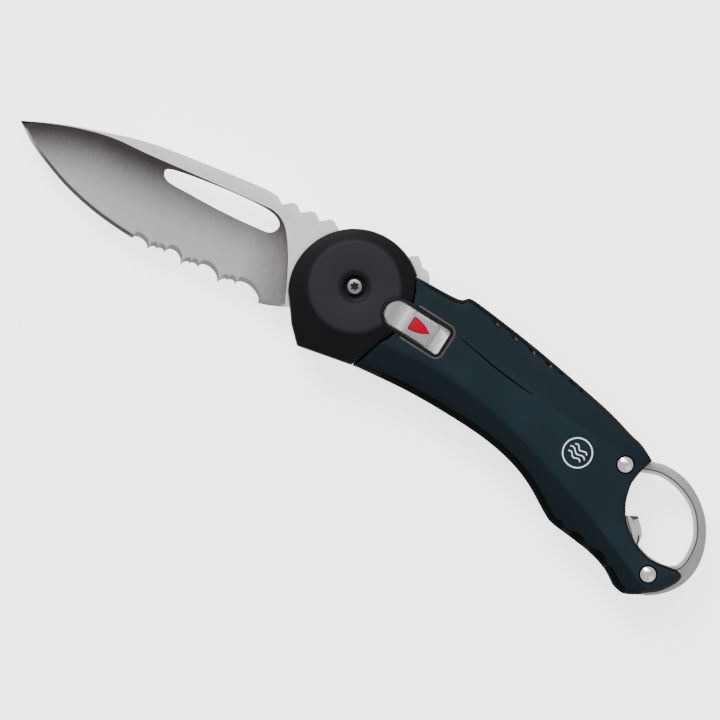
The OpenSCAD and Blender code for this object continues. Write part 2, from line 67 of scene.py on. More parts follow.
class Wire:
    """A shader socket that takes Python's arithmetic."""

    def __init__(self, shader, socket):
        self.shader = shader
        self.socket = socket

    def maths(self, operation, *values):
        return self.shader.node("ShaderNodeMath", {"operation": operation}, dict(enumerate(values)))

    def __add__(self, other):
        return self.maths("ADD", self, other)

    def __radd__(self, other):
        return self.maths("ADD", other, self)

    def __sub__(self, other):
        return self.maths("SUBTRACT", self, other)

    def __rsub__(self, other):
        return self.maths("SUBTRACT", other, self)

    def __mul__(self, other):
        return self.maths("MULTIPLY", self, other)

    def __rmul__(self, other):
        return self.maths("MULTIPLY", other, self)

    def __pow__(self, other):
        return self.maths("POWER", self, other)

    def at_least(self, other):
        return self.maths("MAXIMUM", self, other)

    def between(self, low, high):
        """0 at low, 1 at high, held at both ends."""
        return self.shader.node("ShaderNodeMapRange", {"interpolation_type": "SMOOTHSTEP"},
                                {"Value": self, "From Min": low, "From Max": high})


class Finish:
    """A material, with its nodes made through one method."""

    def __init__(self, name, **fixed):
        self.material = bpy.data.materials.new(name)
        self.material.use_nodes = True
        self.tree = self.material.node_tree
        self.surface = self.tree.nodes["Principled BSDF"]
        for socket, value in fixed.items():
            self.surface.inputs[socket.replace("_", " ")].default_value = value

    def node(self, kind, settings=None, inputs=None, output=0):
        made = self.tree.nodes.new(kind)
        for name, value in (settings or {}).items():
            setattr(made, name, value)
        for key, value in (inputs or {}).items():
            socket = made.inputs[key]
            if isinstance(value, Wire):
                self.tree.links.new(value.socket, socket)
            else:
                socket.default_value = value
        return Wire(self, made.outputs[output])

    def place(self, scale=(1, 1, 1), turn=0.0):
        """Object coordinates in millimetres, turned about Z and stretched."""
        found = self.node("ShaderNodeTexCoord", output="Object")
        return self.node("ShaderNodeMapping", {"vector_type": "POINT"}, {
            "Vector": found, "Rotation": (0, 0, turn), "Scale": tuple(s / MM for s in scale)})

    def noise(self, scale, stretch=(1, 1, 1), turn=0.0, detail=3.0):
        return self.node("ShaderNodeTexNoise", {"noise_dimensions": "3D"}, {
            "Vector": self.place(stretch, turn), "Scale": scale, "Detail": detail,
            "Roughness": 0.55})

    def along(self, axis):
        """One Object coordinate in millimetres, from the pivot."""
        split = self.node("ShaderNodeSeparateXYZ", None,
                          {"Vector": self.node("ShaderNodeTexCoord", output="Object")}, axis)
        return (split - pivot["XYZ".index(axis)] * (axis != "Z")) * (1 / MM)

    def mix(self, share, first, second):
        return self.node("ShaderNodeMix", {"data_type": "RGBA"}, {
            0: share, 6: first if isinstance(first, Wire) else (*first, 1.0),
            7: second if isinstance(second, Wire) else (*second, 1.0)}, 2)

    def use(self, **links):
        for socket, wire in links.items():
            self.tree.links.new(wire.socket, self.surface.inputs[socket.replace("_", " ")])
        return self

    def bump(self, height, strength, depth):
        return self.use(Normal=self.node("ShaderNodeBump", None, {
            "Height": height, "Strength": strength, "Distance": depth * MM}))


def spot(x, y, z=0.0):
    """A place in millimetres from the pivot's axis, and up from what the knife lies on."""
    return Vector((pivot.x + x * MM, pivot.y + y * MM, z * MM))


def spline(points, steps):
    """A smooth line through every point."""
    made = []
    for i in range(len(points) - 1):
        a, b = Vector(points[max(i - 1, 0)]), Vector(points[i])
        c, d = Vector(points[i + 1]), Vector(points[min(i + 2, len(points) - 1)])
        for step in range(steps):
            t = step / steps
            made.append(0.5 * (2 * b + (c - a) * t + (2 * a - 5 * b + 4 * c - d) * t * t
                               + (3 * b - a - 3 * c + d) * t ** 3))
    return made + [Vector(points[-1])]


def arc(centre, radius, start, end, steps):
    """Points on an arc, angles in degrees."""
    angles = [math.radians(start + (end - start) * i / steps) for i in range(steps + 1)]
    return [Vector((centre[0] + radius * math.cos(a), centre[1] + radius * math.sin(a)))
            for a in angles]


def finished(name, bm, body, finishes, replaced=(), smooth=35):
    """Turns a bmesh into a piece that rides on a body."""
    mesh = bpy.data.meshes.new(name)
    bmesh.ops.remove_doubles(bm, verts=bm.verts, dist=0.002 * MM)
    bmesh.ops.recalc_face_normals(bm, faces=bm.faces)
    for face in bm.faces:
        face.smooth = True
    bm.to_mesh(mesh)
    bm.free()
    mesh.set_sharp_from_angle(angle=math.radians(smooth))
    piece = bpy.data.objects.new(name, mesh)
    bpy.context.scene.collection.objects.link(piece)
    for finish in finishes:
        mesh.materials.append(finish.material)
    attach(piece, body)
    if replaced:
        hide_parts(*replaced)
    return piece


def slab(outline, low, high):
    """A plate of an outline between two heights."""
    bm = bmesh.new()
    face = bm.faces.new([bm.verts.new(spot(p[0], p[1], low)) for p in outline])
    grown = bmesh.ops.extrude_face_region(bm, geom=[face], use_keep_orig=True)["geom"]
    bmesh.ops.translate(bm, vec=(0, 0, (high - low) * MM),
                        verts=[v for v in grown if isinstance(v, bmesh.types.BMVert)])
    bmesh.ops.recalc_face_normals(bm, faces=bm.faces)
    return bm


def cut(bm, tool, operation="DIFFERENCE"):
    """Cuts a closed bmesh with another one and gives the result."""
    made = []
    for source in (bm, tool):
        mesh = bpy.data.meshes.new("blank")
        bmesh.ops.recalc_face_normals(source, faces=source.faces)
        source.to_mesh(mesh)
        source.free()
        made.append(bpy.data.objects.new("blank", mesh))
        bpy.context.scene.collection.objects.link(made[-1])
    step = made[0].modifiers.new("cut", "BOOLEAN")
    step.operation = operation
    step.solver = "EXACT"
    step.object = made[1]
    bpy.context.view_layer.update()
    shaped = bpy.data.meshes.new_from_object(
        made[0].evaluated_get(bpy.context.evaluated_depsgraph_get()))
    result = bmesh.new()
    result.from_mesh(shaped)
    for thing in made:
        mesh = thing.data
        bpy.data.objects.remove(thing)
        bpy.data.meshes.remove(mesh)
    bpy.data.meshes.remove(shaped)
    return result


def turned(profile, centre, steps):
    """A solid turned about a vertical axis from a profile of (radius, height), axis to axis."""
    bm = bmesh.new()
    chain = [bm.verts.new(spot(centre[0] + r, centre[1], z)) for r, z in profile]
    edges = [bm.edges.new(pair) for pair in zip(chain, chain[1:])]
    bmesh.ops.spin(bm, geom=chain + edges, cent=spot(*centre), axis=(0, 0, 1), dvec=(0, 0, 0),
                   angle=math.tau, steps=steps, use_merge=True, use_duplicate=False)
    bmesh.ops.remove_doubles(bm, verts=bm.verts, dist=0.002 * MM)
    bmesh.ops.recalc_face_normals(bm, faces=bm.faces)
    return bm


blade_low, blade_high = (corner.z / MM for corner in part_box("blade"))
blade_mid = (blade_low + blade_high) / 2
blade_half = (blade_high - blade_low) / 2
stop_orbit, stop_angle, stop_r, tang_r = 13.0, 12.0, 1.25, 11.7
swing = joints["blade_pivot"]["range_deg"][1]
spine_line = [(-82.0, 3.5), (-74.3, 6.2), (-66.0, 8.3), (-54.0, 10.6), (-40.0, 11.4),
              (-27.0, 11.7), (-23.4, 11.3)]
shoulder_line = [(-82.0, 3.5), (-77.0, 5.2), (-70.0, 7.1), (-62.0, 8.3), (-52.0, 8.2),
                 (-36.0, 8.3), (-23.6, 8.2)]
plunge_line = [(-23.6, 8.2), (-21.4, 7.5), (-19.4, 5.9), (-17.6, 3.2), (-15.8, -0.5), (-14.2, -4.6),
               (-12.9, -8.4), (-12.2, -10.3)]
plunge_start = plunge_line[0][0]
belly_line = [(-82.0, 3.5), (-77.4, -0.2), (-69.6, -4.4), (-64.0, -6.7), (-58.7, -8.3),
              (-53.6, -9.4), (-49.1, -10.1)]
teeth = [(-45.1, -11.0), (-37.1, -11.3), (-28.1, -11.6), (-18.0, -11.9)]
cusps, cusp_y = (1.8, 3.7), -10.2
thin_half, keen_half, heel_depth, fillet_w = 0.28, 0.07, 11.0, 2.2
tip_half, tip_taper = 0.12, 0.5
grind_rows, honed_rows = 23, 3
toothed_hone, plain_hone, hone_limit = 1.0, 0.85, 0.3


def hollow(start, end, depth, steps):
    """A scallop between two points of the edge, bulging up into the blade."""
    a, b = Vector(start), Vector(end)
    return [a.lerp(b, i / steps) + Vector((0, depth * math.sqrt(max(0, 1 - (2 * i / steps - 1) ** 2))))
            for i in range(steps)]


def edge_points():
    """The whole cutting edge from tip to heel."""
    made = spline(belly_line, 8)[:-1]
    made += hollow(belly_line[-1], teeth[0], 1.2, 14)
    for left, right in zip(teeth, teeth[1:]):
        first = (left[0] + cusps[0], cusp_y)
        second = (left[0] + cusps[1], cusp_y)
        made += hollow(left, first, 0.75, 8) + hollow(first, second, 0.65, 8)
        made += hollow(second, right, 1.9, 26)
    return made + [Vector(teeth[-1]), Vector((-15.6, -11.4)), Vector((-12.2, -10.3))]


def height_on(line, x):
    """How high a line of points stands at x."""
    for a, b in zip(line, line[1:]):
        if a[0] <= x <= b[0]:
            return a[1] + (b[1] - a[1]) * (x - a[0]) / max(b[0] - a[0], 1e-9)
    return line[0][1] if x < line[0][0] else line[-1][1]


edge = edge_points()
shoulder = spline(shoulder_line, 6)[:-1] + spline(plunge_line, 6)
straight_shoulder = spline(shoulder_line, 3)
tooth_zone = belly_line[-1][0] + 0.4


def grind_half(x, y):
    """Half the blade's thickness in its hollow grind."""
    top, low = height_on(shoulder, x), height_on(edge, x)
    full_top = height_on(straight_shoulder, min(x, plunge_start))
    share = min(max((full_top - y) / max(full_top + heel_depth, 1e-6), 0), 1)
    hollowed = thin_half + (blade_half - thin_half) * (1 - share) ** 1.9
    plunge_x = plunge_line[-1][0]
    for a, b in zip(plunge_line, plunge_line[1:]):
        if b[1] <= y <= a[1]:
            plunge_x = a[0] + (b[0] - a[0]) * (a[1] - y) / max(a[1] - b[1], 1e-6)
    away = min(max((plunge_x - x) / fillet_w, 0), 1)
    fillet = math.sqrt(max(0, 1 - (1 - away) ** 2))
    return (blade_half - (blade_half - hollowed) * fillet) if top - low > 0.05 else blade_half


def rest_of_blade():
    """The outline of the unground part: spine, thumb serrations, tang and its stop shoulders."""
    line = spline(spine_line, 6)
    for top_x in (-19.6, -15.1, -10.6):
        line += [Vector((top_x - 2.35, 10.1))] + arc((top_x + 0.1, 9.75), 1.65, 145, 35, 8)
    line += arc((0, 0), 12.2, 128, 54, 12)
    line += [Vector(p) for p in ((8.8, 11.3), (10.0, 11.9), (11.1, 11.0), (11.8, 9.9), (13.2, 9.8),
                                 (14.3, 8.6), (14.7, 7.0), (13.9, 4.8))]
    stop, shut = (Vector((math.cos(a), math.sin(a))) * stop_orbit
                  for a in (math.radians(stop_angle), math.radians(stop_angle - swing)))
    line += arc(stop, stop_r, 60, 192, 10)
    line += arc((0, 0), tang_r, 6, -142, 40)
    line += arc(shut, stop_r, 32, 205, 10)
    line += arc((0, 0), 14.3, -146, -138, 3)
    return line


def blade_mesh():
    bm = bmesh.new()
    columns = sorted({round(p.x, 4) for p in edge}
                     | {round(plunge_start + 0.35 * i, 4) for i in range(33)})
    columns = [x for i, x in enumerate(columns) if i == 0 or x - columns[i - 1] > 0.03]
    low = [bm.verts.new(spot(x, height_on(edge, x), 0)) for x in columns]
    top = [bm.verts.new(spot(x, height_on(shoulder, x), 0)) for x in columns[1:-1]]
    top = [low[0]] + top + [low[-1]]
    flat_line = [bm.verts.new(spot(p.x, p.y, 0)) for p in rest_of_blade()[1:]]
    flat = bm.faces.new([top[0]] + flat_line + top[:0:-1])
    for a, b, c, d in zip(low[:-1], low[1:], top[1:], top[:-1]):
        bm.faces.new(list(dict.fromkeys((a, b, c, d)))).material_index = 1
    across = [bm.edges.get(pair) for pair in zip(low[1:-1], top[1:-1])]
    bmesh.ops.triangulate(bm, faces=[flat], ngon_method="BEAUTY")
    bmesh.ops.subdivide_edges(bm, edges=across, cuts=grind_rows - 1, use_grid_fill=True)
    honed = set()
    hone_share = honed_rows / grind_rows
    for vertex in bm.verts:
        if any(face.material_index == 0 for face in vertex.link_faces):
            vertex.co.z = blade_half * MM
            continue
        x, y = (vertex.co.x - pivot.x) / MM, (vertex.co.y - pivot.y) / MM
        foot, head = height_on(edge, x), height_on(shoulder, x)
        share = (y - foot) / max(head - foot, 1e-6)
        honed_width = min(toothed_hone if x > tooth_zone else plain_hone, hone_limit * (head - foot))
        top_of_hone = grind_half(x, foot + honed_width)
        if share < hone_share + 0.001:
            honed.add(vertex)
            part = share / hone_share
            y = foot + honed_width * part
            half = keen_half + (top_of_hone - keen_half) * part
        else:
            part = ((share - hone_share) / (1 - hone_share)) ** 1.2
            y = foot + honed_width + (head - foot - honed_width) * part
            half = grind_half(x, y)
        vertex.co.y = spot(x, y).y
        vertex.co.z = min(half, tip_half + tip_taper * (x - edge[0].x)) * MM
    for face in bm.faces:
        if all(vertex in honed for vertex in face.verts):
            face.material_index = 2
    grown = bmesh.ops.extrude_face_region(bm, geom=list(bm.faces), use_keep_orig=True)["geom"]
    for vertex in (v for v in grown if isinstance(v, bmesh.types.BMVert)):
        vertex.co.z = -vertex.co.z
    bmesh.ops.translate(bm, vec=(0, 0, blade_mid * MM), verts=bm.verts)
    bmesh.ops.recalc_face_normals(bm, faces=bm.faces)
    return bm


slot_line = spline([(-48.3, 5.5), (-47.3, 7.2), (-36.6, 8.0), (-26.9, 7.95), (-22.6, 7.3),
                    (-20.6, 5.6), (-21.8, 3.4), (-26.0, 3.1), (-34.0, 3.3), (-41.6, 3.9),
                    (-46.6, 4.4), (-48.3, 5.5)], 6)[:-1]

ground_steel = Finish("blade_ground", Metallic=1.0, Roughness=0.3)
brushed = ground_steel.noise(5.5, (1.0, 0.035, 0.3), detail=4)
fine_brush = ground_steel.noise(14.0, (1.0, 0.02, 0.3), detail=2)
steel_cloud = ground_steel.noise(0.12, (1.0, 0.6, 1.0), detail=2)
run = ground_steel.along("X")
rise = ground_steel.along("Y")
past_belly = (-62.0 - run).at_least(0)
below_shoulder = 8.3 - past_belly * past_belly * 0.012 - rise
# Painted reflection and shade: the hollow is painted dark under the shoulder and brown-dark by the plunge,
# lighter towards the edge.
dark_reflection_top = 1 - below_shoulder.between(0.5, 15.0)
near_plunge = run.between(-27.0, -13.5)
hollow_painted_reflection = ground_steel.mix(dark_reflection_top ** 1.3, (0.44, 0.44, 0.45), (0.050, 0.043, 0.045))
hollow_painted_reflection = ground_steel.mix(near_plunge * 0.7, hollow_painted_reflection, (0.07, 0.055, 0.045))
streaks = fine_brush.between(0.3, 0.75)
hollow_painted_reflection = ground_steel.mix(streaks * 0.16 * below_shoulder.between(0.0, 7.0), hollow_painted_reflection,
                               (0.62, 0.62, 0.63))
ground_steel.use(Base_Color=hollow_painted_reflection,
                 Roughness=0.27 + brushed * 0.16 + steel_cloud * 0.08)
ground_steel.bump(brushed + fine_brush * 0.5, 0.35, 0.012)

flat_steel = Finish("blade_flat", Metallic=1.0, Roughness=0.25)
lengthwise = flat_steel.noise(6.0, (0.03, 1.0, 1.0), detail=3)
flat_steel.use(Base_Color=flat_steel.mix(lengthwise, (0.80, 0.80, 0.81), (0.95, 0.95, 0.96)),
               Roughness=0.22 + lengthwise * 0.15)
flat_steel.bump(lengthwise, 0.2, 0.008)

edge_painted_shade_and_highlight = Finish("blade_edge_painted_shade_highlight", Metallic=1.0)
edge_lines = edge_painted_shade_and_highlight.noise(9.0, (1.0, 0.05, 0.3), detail=3)
toothed = edge_painted_shade_and_highlight.along("X").between(-50.5, -48.0)
# The honed edge is painted dark as shade, and lighter along the scallops as painted highlight.
plain_edge_painted_shade = edge_painted_shade_and_highlight.mix(edge_lines, (0.07, 0.07, 0.075), (0.14, 0.14, 0.145))
toothed_edge_painted_highlight = edge_painted_shade_and_highlight.mix(edge_lines, (0.16, 0.16, 0.165), (0.40, 0.40, 0.41))
edge_painted_shade_and_highlight.use(Base_Color=edge_painted_shade_and_highlight.mix(toothed, plain_edge_painted_shade, toothed_edge_painted_highlight),
               Roughness=0.24 + edge_lines * 0.14)
edge_painted_shade_and_highlight.bump(edge_lines, 0.3, 0.01)

bore_r = 2.45
bm = cut(blade_mesh(), slab(slot_line, blade_low - 1, blade_high + 1))
bm = cut(bm, slab(arc((0, 0), bore_r, 0, 354, 59), blade_low - 1, blade_high + 1))
finished("blade_steel_body", bm, "blade", [flat_steel, ground_steel, edge_painted_shade_and_highlight],
         ["blade"], 20)

# ---- Hub, pins and washers ----
# Inside the handle: the notched lock hub keyed to the blade, the pins, and two bronze washers.
# Plain turned and blanked parts, whose shapes are the design's own.


def plain_metal(name, dark, light, rough, grain=3.0, stretch=(1, 1, 1), depth=0.006):
    """Machined or blasted metal: fine grain in its colour, its gloss and its surface."""
    finish = Finish(name, Metallic=1.0)
    grains = finish.noise(grain, stretch, detail=4)
    clouds = finish.noise(0.2, detail=2)
    finish.use(Base_Color=finish.mix(grains.between(0.25, 0.75), dark, light),
               Roughness=rough - 0.07 + grains * 0.1 + clouds * 0.08)
    return finish.bump(grains, 0.3, depth)


def refinished(finish, *names):
    for name in names:
        for holder in nodes[name].material_slots:
            holder.material = finish.material


hard_steel = plain_metal("hardened_steel", (0.16, 0.16, 0.17), (0.27, 0.27, 0.28), 0.42)
pin_steel = plain_metal("pin_steel", (0.48, 0.48, 0.49), (0.62, 0.62, 0.63), 0.22, 8.0,
                        (0.1, 0.1, 1))
bronze = plain_metal("washer_bronze", (0.36, 0.21, 0.07), (0.52, 0.33, 0.13), 0.35, 5.0)
refinished(hard_steel, "lock_hub", "lock_bar")
refinished(pin_steel, "hub_pins", "stop_pin", "spacer_pin", "pivot_barrel")
refinished(bronze, "front_washer", "rear_washer")

# ---- Liners ----
# Two blanked stainless plates, ground flat with lines along the handle. Their edges show
# from the side between the scales and the back spacer.

liner_steel = plain_metal("liner_steel", (0.30, 0.30, 0.31), (0.45, 0.45, 0.46), 0.34, 6.0,
                          (0.05, 1, 1))
refinished(liner_steel, "front_liner", "rear_liner")

# ---- Back spacer, ring and bottle opener ----
# One blanked steel plate between the liners, its edges tumbled round and its faces fine
# blasted. The butt rivets and a pin hold it; the lug in the ring has a ground lip. Its sunk
# steps are painted dark as shade, and the inner step round the opening and the lip are
# painted light as highlight.


def soften(bm, levels, width, segments=2):
    """Rounds the edges that lie in flat faces at given heights."""
    rim = [e for e in bm.edges if len(e.link_faces) == 2 and e.calc_face_angle(0) > 0.6
           and any(all(abs(v.co.z - z * MM) < 0.004 * MM for v in e.verts) for z in levels)]
    bmesh.ops.bevel(bm, geom=rim, offset=width * MM, offset_type="OFFSET", affect="EDGES",
                    segments=segments, profile=0.5, material=-1, clamp_overlap=True)


ring_low, ring_high = (corner.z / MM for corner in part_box("ring_frame"))
ring_outer = spline([(22.3, 5.9), (24.4, 6.9), (27.2, 6.9), (33.0, 5.5), (41.6, 3.3), (52.7, 0.0),
                     (61.8, -2.9), (68.3, -5.5), (71.1, -6.5), (74.4, -8.4), (78.6, -8.0),
                     (83.4, -8.9), (87.6, -11.4), (91.0, -15.0), (93.2, -19.6), (94.0, -24.6),
                     (92.9, -29.6), (90.0, -33.4), (86.4, -35.8), (83.6, -36.4)], 6)
ring_inner = spline([(81.4, -34.6), (80.5, -31.6), (78.0, -29.4), (75.4, -27.4), (72.2, -23.4),
                     (70.3, -18.6), (68.6, -14.6), (64.4, -11.0), (57.6, -7.6), (50.0, -4.0),
                     (42.0, -0.6), (34.0, 2.3), (28.0, 3.6), (24.0, 4.0), (22.0, 4.6)], 3)
ring_gap = spline([(73.9, -11.7), (78.2, -10.8), (83.0, -11.8), (87.3, -14.6), (90.0, -19.0),
                   (90.6, -23.0), (89.8, -26.8), (87.2, -28.1), (83.3, -27.8), (80.2, -26.6)], 6)
lug_outline = [Vector(p) for p in ((79.9, -26.4), (80.0, -24.3), (79.0, -22.6), (77.4, -20.7),
                                   (74.8, -21.7), (73.6, -18.7), (73.1, -15.0))]
ring_steel = plain_metal("ring_steel", (0.27, 0.255, 0.27), (0.37, 0.355, 0.37), 0.36, 4.5,
                         (1, 1, 1), 0.014)
ring_painted_highlight = plain_metal("ring_bevel_painted_highlight", (0.50, 0.49, 0.50), (0.72, 0.71, 0.72), 0.28, 5.0)
ring_painted_shade = plain_metal("ring_step_painted_shade", (0.05, 0.048, 0.05), (0.11, 0.105, 0.11), 0.4, 5.0)


def banded(bm, floor_number, wall_number=1):
    """Gives a cutter's walls and floor the materials of the step that it leaves."""
    for face in bm.faces:
        face.material_index = floor_number if abs(face.normal.z) > 0.5 else wall_number
    return bm


def grown(outline, by):
    """An outline moved outwards, whichever way round it runs."""
    turn = 1 if sum(a.cross(b) for a, b in zip(outline, outline[1:] + outline[:1])) > 0 else -1
    made = []
    for before, here, after in zip(outline[-1:] + outline[:-1], outline, outline[1:] + outline[:1]):
        way = ((here - before).normalized() + (after - here).normalized()).normalized()
        made.append(here + Vector((way.y, -way.x)) * by * turn)
    return made


bm = cut(slab(ring_outer + ring_inner, ring_low, ring_high),
         slab(ring_gap + lug_outline, ring_low - 1, ring_high + 1))
soften(bm, (ring_low, ring_high), 0.32, 3)
round_gap = ring_gap + lug_outline[-2:]
# The sunk steps are painted dark as shade; the inner step next to the opening and the lug's lip are painted
# light as highlight.
bm = cut(bm, banded(slab(grown(round_gap, 1.0), ring_high - 0.12, ring_high + 1), 1))
bm = cut(bm, banded(slab(grown(round_gap, 0.72), ring_high - 0.3, ring_high + 1), 2))
dark_step = [(71.5, -17.4), (77.6, -19.2), (81.2, -23.6), (81.6, -27.6), (79.7, -27.2),
             (79.0, -24.4), (77.3, -22.2), (74.0, -20.6)]
bright_lip = [(76.5, -22.2), (79.2, -19.6), (82.0, -24.0), (82.2, -28.0), (80.4, -27.4), (79.5, -24.6)]
for outline, depth, number in ((dark_step, 0.5, 1), (bright_lip, 1.3, 2)):
    bm = cut(bm, banded(slab(outline, ring_high - depth, ring_high + 1), number))
finished("ring_and_spacer", bm, "handle", [ring_steel, ring_painted_shade, ring_painted_highlight],
         ["ring_frame"], 30)

# ---- Scales ----
# Dark teal moulded nylon with a fine satin grain. The face is one flat with a shallow facet
# falling away below it and another above, and its rim is a chamfer painted near black as shade.
# The facets and the band along the lower rim are painted darker teal as shade.

top_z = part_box("front_scale")[1].z / MM
seat_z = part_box("front_scale")[0].z / MM
back_line = spline([(15.1, 7.2), (20.0, 6.8), (22.6, 6.9), (24.2, 7.9), (27.1, 7.5), (33.1, 6.1),
                    (41.7, 3.9), (52.9, 0.6), (62.0, -2.3), (68.6, -5.0), (71.4, -6.0), (75.0, -8.3)], 8)
hook_line = spline([(75.0, -8.3), (73.6, -11.6), (72.9, -14.6), (73.4, -18.8), (75.2, -22.6),
                    (78.6, -26.0), (83.2, -28.1), (87.2, -28.2), (89.6, -28.0)], 8)
horn_line = spline([(89.6, -28.0), (91.1, -28.8), (90.6, -30.8), (88.0, -33.8), (84.9, -35.7),
                    (84.4, -36.2), (81.0, -37.5), (78.6, -36.8)], 6)
belly_edge = spline([(78.6, -36.8), (75.6, -34.4), (71.4, -32.5), (66.2, -31.1), (61.0, -29.9),
                     (58.6, -28.6), (52.6, -24.1), (47.0, -21.2), (39.6, -18.9), (30.1, -17.3),
                     (19.5, -16.2), (8.0, -15.9)], 8)
seam_r, seam_foot = 13.6, Vector((6.4, -16.0))
seam_from, seam_to = -42, 33
rivet_places = ((69.9, -11.5), (84.2, -31.4))
lower_crease = [(0, -8.5), (15.2, -9.4), (22.1, -9.0), (28.5, -9.7), (38.7, -12.4), (45.7, -14.7),
                (54.2, -18.8), (60.9, -21.8), (68.7, -25.6), (74.7, -28.3), (80.7, -32.3), (95, -42)]
upper_crease = [(0, 4.5), (12.0, 2.6), (25.1, -0.7), (36.1, -3.9), (41.5, -5.1), (50.0, -6.2),
                (60.0, -8.0), (70.0, -11.0), (95, -20)]
lower_softness, upper_softness = 0.55, 0.12
grip_nicks = ((31.3, 5.75), (36.3, 4.45), (41.1, 3.3), (45.7, 2.05))
face_step, face_from, face_rows = 0.8, (7, -37), (107, 57)
fingers_from, fingers_to = 61, 75.2


def rim_width(x, y):
    """How wide the chamfer, painted near black as shade, is at a place on the scale's outline."""
    if Vector((x, y)).length < seam_r + 0.7:
        return 0.0
    middle_y = (height_on(upper_crease, x) + height_on(lower_crease, x)) / 2
    if x > 72.3 and y > -29.2:
        return 0.5
    if y > middle_y:
        return 0.9
    if x > 81:
        return 0.8
    fingers = 0.0
    if fingers_from < x < fingers_to:
        fingers = 0.4 * math.cos((x - fingers_from) / 17 * math.tau * 3)
    return min(1.5, 0.9 + (x - 7) * 0.06) + fingers


def face_height(x, y, to_rim):
    """How high the scale's face is, before its chamfer."""
    below = height_on(lower_crease, x) - y
    above = y - height_on(upper_crease, x)
    below = (below + math.sqrt(below * below + lower_softness)) / 2
    above = (above + math.sqrt(above * above + upper_softness)) / 2
    upper_slope = 0.15 if x < 38 else max(0.15 - (x - 38) * 0.004, 0.03)
    return top_z - 0.22 * below - upper_slope * above - 0.3 * max(0, 1 - to_rim / 2.6) ** 2


def scale_blank():
    """A front scale before its openings are cut."""
    line = back_line[:-1] + hook_line[:-1] + horn_line[:-1] + belly_edge + [seam_foot]
    line += arc((0, 0), seam_r, seam_from, seam_to, 30)
    count = len(line)
    rim = []
    for i, here in enumerate(line):
        before = (here - line[i - 1]).normalized()
        after = (line[(i + 1) % count] - here).normalized()
        inward = Vector((before.y, -before.x)) + Vector((after.y, -after.x))
        rim.append(here + inward / max(inward.length_squared / 2, 0.9) * rim_width(*here))
    bm = bmesh.new()
    face = bm.faces.new([bm.verts.new(spot(p.x, p.y, seat_z)) for p in rim])
    bmesh.ops.triangulate(bm, faces=[face], ngon_method="BEAUTY")
    for normal, start, rows in zip(((1, 0, 0), (0, 1, 0)), face_from, face_rows):
        for at in (start + face_step * i for i in range(rows)):
            bmesh.ops.bisect_plane(bm, geom=bm.verts[:] + bm.edges[:] + bm.faces[:],
                                   dist=0.0005 * MM, plane_co=spot(at, at), plane_no=normal)
    near = kdtree.KDTree(len(line))
    for i, p in enumerate(line):
        near.insert((p.x, p.y, 0), i)
    near.balance()

    def place_of(vertex):
        return (vertex.co.x - pivot.x) / MM, (vertex.co.y - pivot.y) / MM

    for vertex in bm.verts:
        x, y = place_of(vertex)
        to_rim = near.find((x, y, 0))[2] if Vector((x, y)).length > seam_r + 1.2 else 9.0
        vertex.co.z = face_height(x, y, to_rim) * MM
    border = [e for e in bm.edges if e.is_boundary]
    grown = bmesh.ops.extrude_edge_only(bm, edges=border)["geom"]
    rim_verts = [v for v in grown if isinstance(v, bmesh.types.BMVert)]
    rim_faces = [f for v in rim_verts for f in v.link_faces]
    segments = list(zip(rim, rim[1:] + rim[:1], line, line[1:] + line[:1]))

    def miss(here, segment):
        """How badly a stretch of the face's border fits a place: its distance, and any overrun."""
        if (segment[0] - segment[1]).length <= 1e-6:
            return 99
        foot, share = intersect_point_line(here, segment[0], segment[1])
        return (foot.to_2d() - here).length + 10 * max(0, abs(share - 0.5) - 0.5)

    for vertex in rim_verts:
        here = Vector(place_of(vertex))
        best = min(segments, key=lambda segment: miss(here, segment))
        share = min(max(intersect_point_line(here, best[0], best[1])[1], 0), 1)
        moved = best[2].lerp(best[3], share)
        width = (moved - here).length
        vertex.co = spot(moved.x, moved.y, vertex.co.z / MM - min(1.5, width * 1.3))
    walls = bmesh.ops.extrude_edge_only(bm, edges=[e for e in bm.edges if e.is_boundary])["geom"]
    foot_verts = [v for v in walls if isinstance(v, bmesh.types.BMVert)]
    for vertex in foot_verts:
        vertex.co.z = seat_z * MM
    for face in rim_faces + [f for v in foot_verts for f in v.link_faces]:
        face.material_index = 1
    bmesh.ops.holes_fill(bm, edges=[e for e in bm.edges if e.is_boundary], sides=0)
    bmesh.ops.remove_doubles(bm, verts=bm.verts, dist=0.003 * MM)
    bmesh.ops.recalc_face_normals(bm, faces=bm.faces)
    return bm


def painted(bm, number):
    """Gives every face of a cutter or a small block one of the piece's materials."""
    for face in bm.faces:
        face.material_index = number
    return bm


def flipped(bm):
    """The same piece for the rear of the knife."""
    bmesh.ops.scale(bm, vec=(1, 1, -1), verts=bm.verts)
    bmesh.ops.translate(bm, vec=(0, 0, top_z * MM), verts=bm.verts)
    bmesh.ops.recalc_face_normals(bm, faces=bm.faces)
    return bm


def along_slide(points):
    """Places drawn along the slide's own way."""
    across = Vector((-slide_way.y, slide_way.x))
    return [Vector((slide_way.x, slide_way.y)) * p[0] + across * p[1] for p in points]


def slot_shape(start, end, width, tail_r):
    """A slot with a round front and a tail of rounded corners, along the slide's way."""
    half = width / 2
    return along_slide(arc((start + half, 0), half, 90, 270, 24)
                       + arc((end - tail_r, tail_r - half), tail_r, -90, 0, 5)
                       + arc((end - tail_r, half - tail_r), tail_r, 0, 90, 5))


travel = joints["lock_slide_travel"]["range_m"][1] / MM
button_front, button_l, button_w = 8.4, 12.2, 5.5
play, wall = 0.3, 0.6
slot_front, slot_back = button_front - play, button_front + button_l + travel + play
slot_w = button_w + 2 * play

